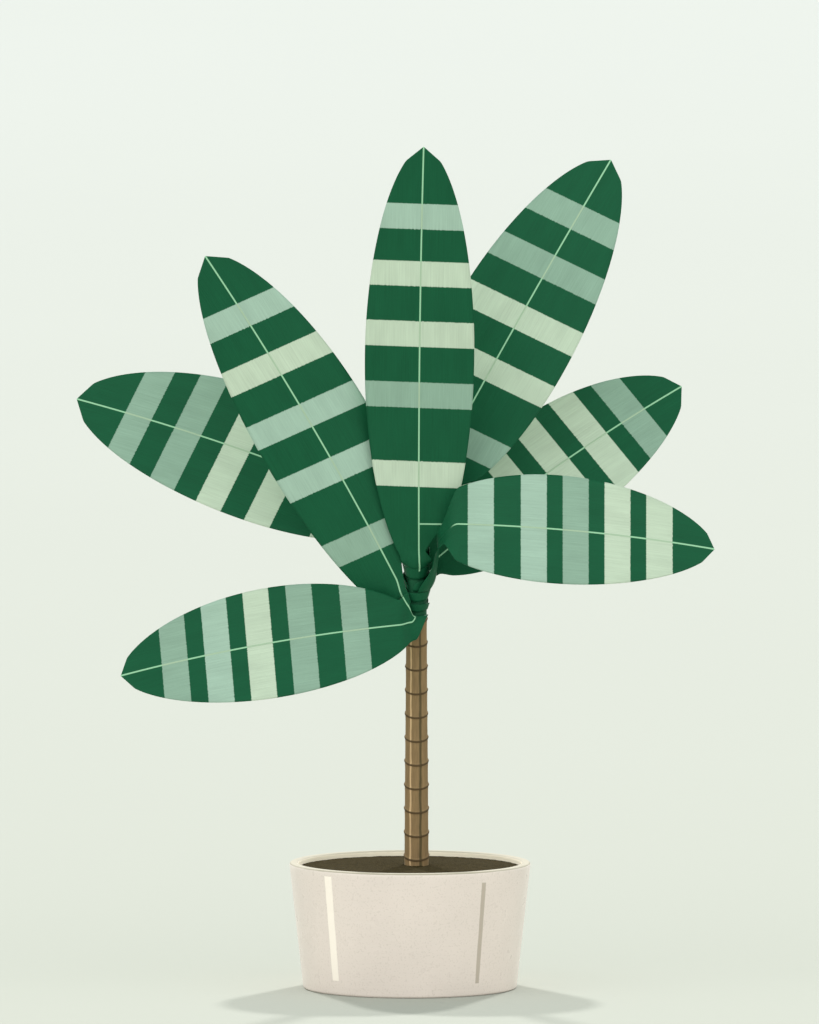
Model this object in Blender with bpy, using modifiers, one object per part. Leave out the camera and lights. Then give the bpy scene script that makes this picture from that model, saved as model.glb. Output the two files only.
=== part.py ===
"""Potted dracaena: a slim ringed cane with seven broad banded leaves, standing in a low tapered pot of soil.

Metres, +Z up, +X to the right and -Y to the front. The origin is the middle of the pot's underside.
Each leaf is one piece that grows from the cane: a sheath that clasps it, a short neck, and a blade.
The leaves' own table is in millimetres, as they show to someone who looks VIEW_TILT down on the plant:
across to the right, up the picture, and back, away from the front.
"""

from collections import namedtuple
from math import cos, pi, radians, sin, tan

import bmesh
import bpy
from mathutils import Vector

MM = 0.001
GAP = 0.3 * MM
SHARP_ANGLE = radians(35)

POT_HEIGHT = 126.5 * MM
POT_RIM_RADIUS = 120.6 * MM
POT_FOOT_RADIUS = 107.0 * MM
POT_WALL = 9.3 * MM
POT_FLOOR = 9.0 * MM
POT_EDGE = 2.6 * MM
POT_SIDES = 64

SOIL_BELOW_RIM = 4.6 * MM
SOIL_CROWN = 2.2 * MM
SOIL_SIDES = 48

CANE_X = 6.5 * MM
CANE_FOOT = 62.0 * MM
CANE_TOP = 458.0 * MM
CANE_FOOT_RADIUS = 12.6 * MM
CANE_THINS = 0.0077
CANE_SIDES = 20
SCAR_FIRST = 133.1 * MM
SCAR_PITCH = 23.8 * MM
SCAR_COUNT = 11
SCAR_OUT = 0.9 * MM
SCAR_HALF = 2.0 * MM
SCAR_SLOPE = 0.35

VIEW_TILT = radians(5.2)
EYE_AIM = (-0.5, 476.0)
EYE_AWAY = 34134.0
LEAF_THICK = 1.2
SHEATH_FLARE = 2.8
SHEATH_LEAN = 0.8
SHEATH_EASE = 0.1
SHEATH_ROWS = 5
NECK_ROWS = 3
BLADE_ROWS = 13
BLADE_STEP = 0.002
TIP_CROWDING = 1.35
LEAF_COLUMNS = 12
CUP = 7.0
WAVE = 1.6
WAVES = 3.0

LEAF_GREEN = (0.0144, 0.1046, 0.0482, 1)
CANE_BROWN = (0.227, 0.156, 0.078, 1)
POT_CREAM = (0.768, 0.686, 0.591, 1)
SOIL_BROWN = (0.080, 0.065, 0.037, 1)

Leaf = namedtuple(
    "Leaf",
    "name heading sheath wraps base tip back bow half_width swell taper lean face shoulders start neck",
)
Neck = namedtuple("Neck", "place along side widths curl")

LEAVES = (
    Leaf(
        name="leaf_lower_left",
        heading=-2,
        sheath=(373.7, 5.3),
        wraps=(62, 50),
        base=(10.3, 364.9),
        tip=(-289.3, 312.1),
        back=(-24, -135),
        bow=6.4,
        half_width=55.0,
        swell=0.571,
        taper=0.609,
        lean=0.40,
        face=1,
        shoulders=(0.02, 0.02),
        start=0.07,
        neck=(Neck((1, 365.6, -21), (-0.95, -0.1, -0.3), (-0.18, 0.95, 0.18), (20, 30), 28),),
    ),
    Leaf(
        name="leaf_upper_left",
        heading=-82,
        sheath=(382.5, 8.5),
        wraps=(168, 62),
        base=(8.9, 364.4),
        tip=(-204.9, 732.0),
        back=(-7, -45),
        bow=6.9,
        half_width=59.0,
        swell=0.586,
        taper=0.573,
        lean=0.1,
        face=-1,
        shoulders=(0.06, 0.39),
        start=0.12,
        neck=(Neck((-8, 392.5, -12.8), (-0.45, 0.88, -0.05), (-0.80, -0.55, 0.20), (6.7, 26), 25),),
    ),
    Leaf(
        name="leaf_right",
        heading=55,
        sheath=(392.8, 9.6),
        wraps=(168, 50),
        base=(9.9, 464.4),
        tip=(304.6, 438.7),
        back=(-31, -150),
        bow=-6.2,
        half_width=54.1,
        swell=0.527,
        taper=0.617,
        lean=-0.42,
        face=1,
        shoulders=(0.05, 0.05),
        start=0.13,
        neck=(
            Neck((27, 424, -14), (0.15, 0.95, -0.25), (-0.25, -0.20, -0.95), (9, 9), 25),
            Neck((34, 452, -40), (0.55, 0.55, -0.63), (0.05, -0.66, -0.75), (15, 15), 20),
        ),
    ),
    Leaf(
        name="leaf_right_back",
        heading=150,
        sheath=(403.0, 12.0),
        wraps=(168, 58),
        base=(16.8, 421.0),
        tip=(271.7, 601.5),
        back=(13, 150),
        bow=-6.8,
        half_width=59.4,
        swell=0.560,
        taper=0.600,
        lean=-0.42,
        face=1,
        shoulders=(0.02, 0.01),
        start=0.05,
        neck=(Neck((21, 417, 14), (0.6, 0.6, 0.5), (0.60, -0.55, -0.60), (10, 12), 30),),
    ),
    Leaf(
        name="leaf_top",
        heading=12,
        sheath=(415.2, 11.8),
        wraps=(168, 62),
        base=(9.1, 413.2),
        tip=(13.7, 841.4),
        back=(-15, -62),
        bow=-1.9,
        half_width=54.7,
        swell=0.590,
        taper=0.571,
        lean=0.0,
        face=-1,
        shoulders=(0.02, 0.16),
        start=0.06,
        neck=(Neck((9.3, 428, -17.5), (0, 0.97, -0.15), (-1, 0, 0), (12, 19), 18),),
    ),
    Leaf(
        name="leaf_left",
        heading=-125,
        sheath=(426.5, 14.0),
        wraps=(168, 50),
        base=(4.9, 470.3),
        tip=(-333.4, 589.0),
        back=(16, 125),
        bow=6.7,
        half_width=65.5,
        swell=0.512,
        taper=0.578,
        lean=0.38,
        face=1,
        shoulders=(0.04, 0.08),
        start=0.07,
        neck=(Neck((-9, 458, 17), (-0.4, 0.88, 0.2), (0.5, 0.5, 0.7), (9, 9), 30),),
    ),
    Leaf(
        name="leaf_upper_right",
        heading=160,
        sheath=(440.5, 14.0),
        wraps=(168, 50),
        base=(13.3, 494.5),
        tip=(201.1, 828.2),
        back=(16, 110),
        bow=-2.0,
        half_width=64.6,
        swell=0.477,
        taper=0.567,
        lean=-0.36,
        face=1,
        shoulders=(0.10, 0.10),
        start=0.09,
        neck=(Neck((15, 485, 17), (0.3, 0.93, 0.15), (0.93, -0.3, -0.2), (10, 10), 30),),
    ),
)


def clear_scene():
    for old in list(bpy.data.objects):
        bpy.data.objects.remove(old, do_unlink=True)


def make_material(name, colour, roughness):
    material = bpy.data.materials.new(name)
    material.use_nodes = True
    shader = material.node_tree.nodes["Principled BSDF"]
    shader.inputs["Base Color"].default_value = colour
    shader.inputs["Roughness"].default_value = roughness
    shader.inputs["Metallic"].default_value = 0.0
    return material


def add_object(name, shape, material, collection):
    """Finish a bmesh as a named object."""
    mesh = bpy.data.meshes.new(name)
    shape.to_mesh(mesh)
    shape.free()
    mesh.materials.append(material)
    mesh.shade_smooth()
    mesh.set_sharp_from_angle(angle=SHARP_ANGLE)
    made = bpy.data.objects.new(name, mesh)
    collection.objects.link(made)
    return made


def turned(profile, sides):
    """A closed body turned round Z from (radius, height) points that run from the axis to the axis."""
    shape = bmesh.new()
    ring = [shape.verts.new((radius, 0, height)) for radius, height in profile]
    edges = [shape.edges.new(pair) for pair in zip(ring, ring[1:])]
    bmesh.ops.spin(
        shape,
        geom=ring + edges,
        cent=(0, 0, 0),
        axis=(0, 0, 1),
        angle=2 * pi,
        steps=sides,
        use_merge=True,
    )
    bmesh.ops.remove_doubles(shape, verts=shape.verts, dist=0.01 * MM)
    bmesh.ops.recalc_face_normals(shape, faces=shape.faces)
    return shape


def make_pot(material, collection):
    inner_rim = POT_RIM_RADIUS - POT_WALL
    inner_foot = pot_inner_radius(POT_FLOOR)
    profile = (
        (0, 0),
        (POT_FOOT_RADIUS - POT_EDGE, 0),
        (POT_FOOT_RADIUS, POT_EDGE),
        (POT_RIM_RADIUS, POT_HEIGHT - POT_EDGE),
        (POT_RIM_RADIUS - POT_EDGE * 0.3, POT_HEIGHT - POT_EDGE * 0.3),
        (POT_RIM_RADIUS - POT_EDGE, POT_HEIGHT),
        (inner_rim + POT_EDGE * 0.6, POT_HEIGHT),
        (inner_rim, POT_HEIGHT - POT_EDGE * 0.6),
        (inner_foot, POT_FLOOR),
        (0, POT_FLOOR),
    )
    return add_object("pot", turned(profile, POT_SIDES), material, collection)


def pot_inner_radius(height):
    """The pot's inner radius at a height above its underside."""
    rise = (POT_RIM_RADIUS - POT_FOOT_RADIUS) / POT_HEIGHT
    return POT_FOOT_RADIUS - POT_WALL + rise * height


def make_soil(material, collection):
    """The soil fills the pot and has a plain round hole for the cane's foot."""
    foot = POT_FLOOR + GAP
    top = POT_HEIGHT - SOIL_BELOW_RIM
    edge = pot_inner_radius(top) - 2 * GAP
    profile = (
        (0, foot),
        (pot_inner_radius(foot) - 2 * GAP, foot),
        (edge, top),
        (edge * 0.6, top + SOIL_CROWN * 0.35),
        (edge * 0.25, top + SOIL_CROWN),
        (0, top + SOIL_CROWN),
    )
    soil = add_object("soil", turned(profile, SOIL_SIDES), material, collection)
    hole = bmesh.new()
    depth = POT_HEIGHT - CANE_FOOT
    bmesh.ops.create_cone(
        hole,
        cap_ends=True,
        segments=CANE_SIDES * 2,
        radius1=CANE_FOOT_RADIUS + GAP * 2,
        radius2=CANE_FOOT_RADIUS + GAP * 2,
        depth=depth,
    )
    bmesh.ops.translate(hole, verts=hole.verts, vec=(CANE_X, 0, CANE_FOOT - GAP + depth / 2))
    cutter = add_object("cane_hole", hole, material, bpy.data.collections["cutters"])
    cutter.hide_render = True
    cutter.display_type = "WIRE"
    cut = soil.modifiers.new("cane_hole", "BOOLEAN")
    cut.object = cutter
    cut.operation = "DIFFERENCE"
    return soil


def cane_radius(height):
    return CANE_FOOT_RADIUS - CANE_THINS * (height - CANE_FOOT)


def make_cane(material, collection):
    """The cane, with a raised scar at each old leaf, low in front and high behind."""
    profile = [(0, CANE_FOOT), (cane_radius(CANE_FOOT), CANE_FOOT)]
    for number in range(SCAR_COUNT):
        middle = SCAR_FIRST + number * SCAR_PITCH
        for offset, out in ((-1, 0), (-0.35, 1), (0.35, 1), (1, 0)):
            height = middle + offset * SCAR_HALF
            profile.append((cane_radius(height) + out * SCAR_OUT, height))
    dome = cane_radius(CANE_TOP)
    for turn in range(4):
        angle = turn * pi / 8
        profile.append((dome * cos(angle), CANE_TOP - dome * (1 - sin(angle))))
    profile.append((0, CANE_TOP))
    shape = turned(profile, CANE_SIDES)
    for vert in shape.verts:
        if CANE_FOOT + GAP < vert.co.z < CANE_TOP - dome - GAP:
            vert.co.z += SCAR_SLOPE * vert.co.y
    cane = add_object("cane", shape, material, collection)
    cane.location.x = CANE_X
    return cane


def seen(across, up, back):
    """The way, or the point from far off, that goes this far back and shows so to the eye that looks down."""
    return Vector((across, back, (up - sin(VIEW_TILT) * back) / cos(VIEW_TILT)))


def place(across, up, back):
    """The point, in millimetres, that lies this far back and shows there to the eye EYE_AWAY from the plant."""
    depth = back / cos(VIEW_TILT) - (up - EYE_AIM[1]) * tan(VIEW_TILT)
    grown = 1 + depth / EYE_AWAY
    return seen(EYE_AIM[0] + (across - EYE_AIM[0]) * grown, EYE_AIM[1] + (up - EYE_AIM[1]) * grown, back)


def half_width(leaf, t, side):
    """The blade's half width at the share t of its length, on one side of the midrib."""
    widest = leaf.swell / (leaf.swell + leaf.taper)
    width = leaf.half_width * (t / widest) ** leaf.swell * ((1 - t) / (1 - widest)) ** leaf.taper
    grown = min(1, t / leaf.shoulders[0 if side < 0 else 1])
    return width * grown * grown * (3 - 2 * grown)


def blade_point(leaf, t, s):
    """A point of the blade: t runs from its base to its tip, and s from -1 to 1 across it."""
    base, tip = Vector(leaf.base), Vector(leaf.tip)
    run = tip - base
    chord_side = Vector((run.y, -run.x)).normalized()
    heading = run + chord_side * 4 * leaf.bow * (1 - 2 * t)
    side = Vector((heading.y, -heading.x)).normalized()
    out = s * leaf.face * half_width(leaf, t, s * leaf.face) if t < 1 else 0
    spot = base + run * t + chord_side * 4 * leaf.bow * t * (1 - t) + side * out
    back = leaf.back[0] + (leaf.back[1] - leaf.back[0]) * t + leaf.lean * out
    full = abs(out) / leaf.half_width
    wave = WAVE * sin(2 * pi * (WAVES * t + 0.2 * s)) * full**2
    back -= leaf.face * (CUP * full**1.5 * (1 - 0.4 * t) + wave)
    return place(spot.x, spot.y, back)


def sheath_point(leaf, share, s):
    """A point of the sheath: share runs from its foot to its top, and s from -1 to 1 round the cane."""
    foot, rise = leaf.sheath
    wrap = radians(leaf.wraps[0] + (leaf.wraps[1] - leaf.wraps[0]) * share**2)
    risen = 1 - (1 - share) ** 3
    facet = cos(radians(leaf.wraps[0]) / LEAF_COLUMNS)
    inside = (cane_radius(foot * MM) + GAP) / MM / facet + SHEATH_EASE
    radius = inside + LEAF_THICK / 2 + SHEATH_FLARE * risen
    turn = radians(leaf.heading)
    outward = Vector((sin(turn), -cos(turn), 0))
    sideways = Vector((-cos(turn), -sin(turn), 0))
    spot = (outward * cos(s * wrap) + sideways * sin(s * wrap)) * radius
    height = foot + rise * risen + SCAR_SLOPE * spot.y
    return Vector((CANE_X / MM + spot.x, spot.y, height))


def sheath_slope(leaf, s):
    """The way that the sheath leans out at its top."""
    turn = radians(leaf.heading - s * leaf.wraps[1])
    return Vector((SHEATH_LEAN * sin(turn), -SHEATH_LEAN * cos(turn), 1)).normalized()


def neck_point(neck, s):
    """A point of a section of the neck, a shallow channel whose edges curl up on the leaf's upper side."""
    along, side = Vector(neck.along).normalized(), Vector(neck.side).normalized()
    upper = along.cross(side).normalized()
    curl = radians(neck.curl)
    radius = neck.widths[0 if s < 0 else 1] / curl
    spot = Vector(neck.place) + (side * sin(s * curl) + upper * (1 - cos(s * curl))) * radius
    return place(*spot)


def smooth_between(start, end, leave, arrive, share):
    """A cubic curve from start to end that leaves and arrives along the given vectors."""
    square, cube = share * share, share**3
    return (
        start * (2 * cube - 3 * square + 1)
        + leave * (cube - 2 * square + share)
        + end * (3 * square - 2 * cube)
        + arrive * (cube - square)
    )


def leaf_rows(leaf):
    """The leaf's rows of points from the sheath's foot to the last row before the tip."""
    across = [2 * column / LEAF_COLUMNS - 1 for column in range(LEAF_COLUMNS + 1)]
    rows = [[sheath_point(leaf, row / SHEATH_ROWS, s) for s in across] for row in range(SHEATH_ROWS + 1)]
    start = [blade_point(leaf, leaf.start, s) for s in across]
    beyond = [blade_point(leaf, leaf.start + BLADE_STEP, s) for s in across]
    sections = [rows[-1]] + [[neck_point(neck, s) for s in across] for neck in leaf.neck] + [start]
    slopes = [[sheath_slope(leaf, s) for s in across]]
    slopes += [[seen(*Vector(neck.along).normalized())] * len(across) for neck in leaf.neck]
    slopes += [slope(start, beyond)]
    middle = LEAF_COLUMNS // 2
    for number, (near, far) in enumerate(zip(sections, sections[1:])):
        span = (far[middle] - near[middle]).length
        leave, arrive = slopes[number], slopes[number + 1]
        for row in range(1, NECK_ROWS + 1):
            share = row / NECK_ROWS
            ends = zip(near, far, leave, arrive)
            rows.append([smooth_between(p, q, m * span, n * span, share) for p, q, m, n in ends])
    for row in range(1, BLADE_ROWS):
        t = 1 - (1 - leaf.start) * (1 - row / BLADE_ROWS) ** TIP_CROWDING
        rows.append([blade_point(leaf, t, s) for s in across])
    return rows


def slope(near, far):
    """Each column's direction from one row to the next, where the middle column's is one long."""
    middle = len(near) // 2
    step = (far[middle] - near[middle]).length
    return [(b - a) / step for a, b in zip(near, far)]


def make_leaf(leaf, material, collection):
    """One leaf: an open sheet of triangles, thickened alike on both faces."""
    shape = bmesh.new()
    grid = [[shape.verts.new(point * MM) for point in row] for row in leaf_rows(leaf)]
    for near, far in zip(grid, grid[1:]):
        for column in range(LEAF_COLUMNS):
            a, b = near[column], near[column + 1]
            c, d = far[column + 1], far[column]
            if column < LEAF_COLUMNS / 2:
                shape.faces.new((a, b, d))
                shape.faces.new((b, c, d))
            else:
                shape.faces.new((a, b, c))
                shape.faces.new((a, c, d))
    point = shape.verts.new(blade_point(leaf, 1, 0) * MM)
    for column in range(LEAF_COLUMNS):
        shape.faces.new((grid[-1][column], grid[-1][column + 1], point))
    made = add_object(leaf.name, shape, material, collection)
    thicken = made.modifiers.new("thickness", "SOLIDIFY")
    thicken.thickness = LEAF_THICK * MM
    thicken.offset = 0
    return made


def main():
    clear_scene()
    plant = bpy.data.collections.new("potted_dracaena")
    cutters = bpy.data.collections.new("cutters")
    bpy.context.scene.collection.children.link(plant)
    bpy.context.scene.collection.children.link(cutters)
    make_pot(make_material("glazed clay", POT_CREAM, 0.35), plant)
    make_soil(make_material("potting soil", SOIL_BROWN, 0.95), plant)
    make_cane(make_material("cane bark", CANE_BROWN, 0.8), plant)
    leaf_material = make_material("leaf green", LEAF_GREEN, 0.45)
    for leaf in LEAVES:
        make_leaf(leaf, leaf_material, plant)
    whole = bpy.data.objects.new("whole_plant", None)
    for piece in plant.objects:
        piece.parent = whole
    plant.objects.link(whole)


main()
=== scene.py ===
"""Potted dracaena: the finished look of its pot, soil, cane and leaves, laid out as a Blender add-on.

Metres, +Z up, +X to the right and -Y to the front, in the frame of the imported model.
The leaves' table and the markings are in millimetres. A place in that table is where the plant shows to the
eye: across to the right, up the picture, and back, away from the front.
"""

from collections import namedtuple
from math import cos, exp, pi, radians, sin, tan

import bmesh
import bpy
from bpy.props import FloatProperty, FloatVectorProperty, PointerProperty
from bpy.types import Operator, Panel, PropertyGroup
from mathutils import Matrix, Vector, noise


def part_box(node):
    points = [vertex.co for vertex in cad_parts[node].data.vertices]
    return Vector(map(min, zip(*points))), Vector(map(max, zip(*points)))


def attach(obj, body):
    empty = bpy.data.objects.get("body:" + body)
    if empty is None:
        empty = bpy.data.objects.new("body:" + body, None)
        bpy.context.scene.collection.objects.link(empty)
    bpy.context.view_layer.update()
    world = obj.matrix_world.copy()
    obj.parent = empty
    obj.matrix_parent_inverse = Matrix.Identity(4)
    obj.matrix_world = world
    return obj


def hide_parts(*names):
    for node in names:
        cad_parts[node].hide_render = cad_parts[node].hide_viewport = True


bl_info = {
    "name": "Potted Dracaena",
    "version": (1, 0, 0),
    "blender": (4, 5, 0),
    "location": "View3D > Sidebar > Dracaena",
    "description": "Makes a potted dracaena with a ringed cane and cross-banded leaves",
    "category": "Add Mesh",
}

MM = 0.001

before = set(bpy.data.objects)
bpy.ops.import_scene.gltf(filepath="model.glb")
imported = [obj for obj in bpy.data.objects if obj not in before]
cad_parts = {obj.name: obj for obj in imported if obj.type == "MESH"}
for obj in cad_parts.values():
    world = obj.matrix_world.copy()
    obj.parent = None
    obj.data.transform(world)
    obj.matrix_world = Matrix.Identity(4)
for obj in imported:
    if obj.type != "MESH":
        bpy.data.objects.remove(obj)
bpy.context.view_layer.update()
pot_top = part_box("pot")[1]
cane_low, cane_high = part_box("cane")

# From here to the leaves' table, sizes and places are in millimetres and angles in degrees.
# A bearing is 0 in front and 90 on the right.
BEYOND = 1000.0  # further than any part reaches
LEAST_WIDTH = 0.01  # stands in for no width at a tip

# The stage
Light = namedtuple("Light", "name bearing height strength spread")
LIGHTS = (
    Light("back light left", -157, 36, 2.28, 5),
    Light("back light right", 157, 36, 2.28, 5),
    Light("front light left", -45, 19, 1.20, 80),
    Light("front light right", 40, 19, 1.02, 80),
)
LIGHT_AWAY = 3000.0
AIR_COLOUR = (0.92, 1, 0.97, 1)
AIR_STRENGTH = 0.8
# The floor's colour is painted lighter towards the back, a painted gradient of light that starts and ends at
# these distances.
FLOOR_LIGHT_FADE = (-300.0, 12000.0)  # how far back it starts and ends
EYE_AIM = (-0.5, 476.0)  # across and up

# The pot, with a painted highlight and a painted shade, each a stroke between two bearings and two heights
Stroke = namedtuple("Stroke", "start end low high")
HIGHLIGHT_STROKE = Stroke(start=-45.35, end=-40.95, low=15.0, high=120.5)
SHADE_STROKE = Stroke(start=36.95, end=39.45, low=13.0, high=115.0)
POT_SIDES = 192
WALL_STEPS = 24
FOOT_STEPS = 6
RIM_STEPS = 8
UNDERSIDE_SHARE = 0.8
INNER_ROWS = (0.9, 0.5)  # shares of the pot's height
INNER_FILLET = 6.0
MOST_SPECK = 0.22
GLAZE_ROUGHNESS = 0.3
BARE_ROUGHNESS = 0.7
ROUGHNESS_WAVER = 0.3

# The soil, whose crumbs are a sum of noises
Crumb = namedtuple("Crumb", "per_metre offset share")
CRUMBS = (Crumb(120, (0, 0, 0), 0.6), Crumb(330, (7, 3, 0), 0.42), Crumb(900, (1, 9, 0), 0.5))
SOIL_GAP = 0.6  # from the pot's wall
SOIL_SEAT = 0.3  # from the pot's floor, and from the cane's foot
SOIL_SKIRT = 6.0
SOIL_SIDES = 300
SOIL_ROWS = 84
CANE_HOLE = 13.2
EDGE_FADE = 0.06  # share of the radius in which the crumbs get lower towards the edge
EDGE_CRUMBS = 0.35
DRY_LIFT = 1.25

# The cane, with a painted highlight and a painted shade line, each a streak between two bearings, and scars
# that are low in front and high behind
Streak = namedtuple("Streak", "start end feather share")
HIGHLIGHT_STREAK = Streak(start=-36.0, end=-27.0, feather=2.0, share=0.98)
SHADE_STREAK = Streak(start=13.5, end=26.5, feather=2.5, share=0.92)
CANE_AXIS = (cane_low.x + cane_high.x) / 2 / MM
CANE_FOOT, CANE_TOP = cane_low.z / MM, cane_high.z / MM
CANE_FOOT_RADIUS = 12.6
CANE_THINS = 0.0077  # loss of radius for each millimetre up
CANE_SIDES = 72
CANE_STEP = 0.9
DOME_STEPS = 6
FURROW = 0.12
FURROW_RISE = 0.012
SCAR_FIRST = 133.1
SCAR_PITCH = 23.8
SCAR_SLOPE = 0.35  # rise of a scar for each millimetre back
SCAR_COUNT = 11
SCAR_WIDTH = 1.1
SCAR_HALF_LINE = 1.0
SCAR_INK = 0.92
SCAR_RAGGED = 0.15
CUSHION_SHARE = 0.22
CUSHION_DROP = 2.5
CUSHION_WIDTH = 3.5
SLOPE_EASE = 20.0  # height above the foot at which the slope is full
CROWN_FOOT = 373.0  # where the sheaths begin

# The leaves
CANE_RADIUS_GAP = 0.3
CLASP_THICK = 1.2
CLASP_FLARE = 2.8  # how far a sheath opens by its top
CLASP_LEAN = 0.8
CLASP_EASE = 0.1
CLASP_COLUMNS = 12
CUP = 7.0  # how far a blade's margins stand up
CUP_EASE = 0.4
WAVE = 1.6  # how far the margins wave
WAVES = 3.0
WAVE_SKEW = 0.2
TIP_CROWDING = 1.35  # above 1 where the rows crowd towards the tip
TIP_SHARE = 0.034  # share of the blade that is its straight-sided point
BLADE_STEP = 0.002
NECK_REACH = 30.0  # length of the marks of a sheath, and of a neck
SHEATH_ROWS = 12
NECK_ROWS = 12
BLADE_ROWS = 110
HALF_COLUMNS = 24
RIB_COLUMNS = 5
RIB_REACH = 1.8
MOST_RIB_SHARE = 0.3
RIDGE_WIDTH = 1.4
BLADE_SHARE = 0.5  # the blade's share of the thickness at the midrib's foot
MARGIN_THINS = 0.22
RIDGE_SHARE = 0.5
RIDGE_THINS = 0.7
VEIN_TONE = 0.14
RAGGED = 0.9
WAX_ROUGHNESS = 0.38
VEIN_ROUGHNESS = 0.1

Leaf = namedtuple(
    "Leaf",
    (
        "name",
        "heading",  # bearing of the sheath's middle
        "sheath",  # height of the sheath's foot, and how far the sheath rises
        "wraps",  # how far the sheath goes round to each side, at its foot and its top
        "base",
        "tip",
        "back",  # how far back the base and the tip lie
        "bow",  # how far the midrib bends to the right of a straight line, seen from base to tip
        "half_width",
        "swell",  # power of the outline's curve from the base, 0.5 round and 1 straight
        "taper",  # the same towards the tip
        "lean",  # how far back a point lies for each step to the right of the midrib
        "face",  # 1 where the upper side faces the front, and -1 where it faces the back
        "shoulders",  # share of the length in which the left and the right side widen
        "start",  # share of the length at which the neck joins the blade
        "neck",
        "bands",
        "slant",  # how much further along a band lies for each step to the right
        "rib_foot",  # how far along the pale midrib starts
        "side_vein",  # ends of a fine side vein, if there is one, each as far along and out
    ),
    defaults=(None,),
)
# A section of a neck: its middle, the ways that it runs and spreads, two half widths, and its curl.
Neck = namedtuple("Neck", "place along side widths curl")
Band = namedtuple("Band", "start end tone")

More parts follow.
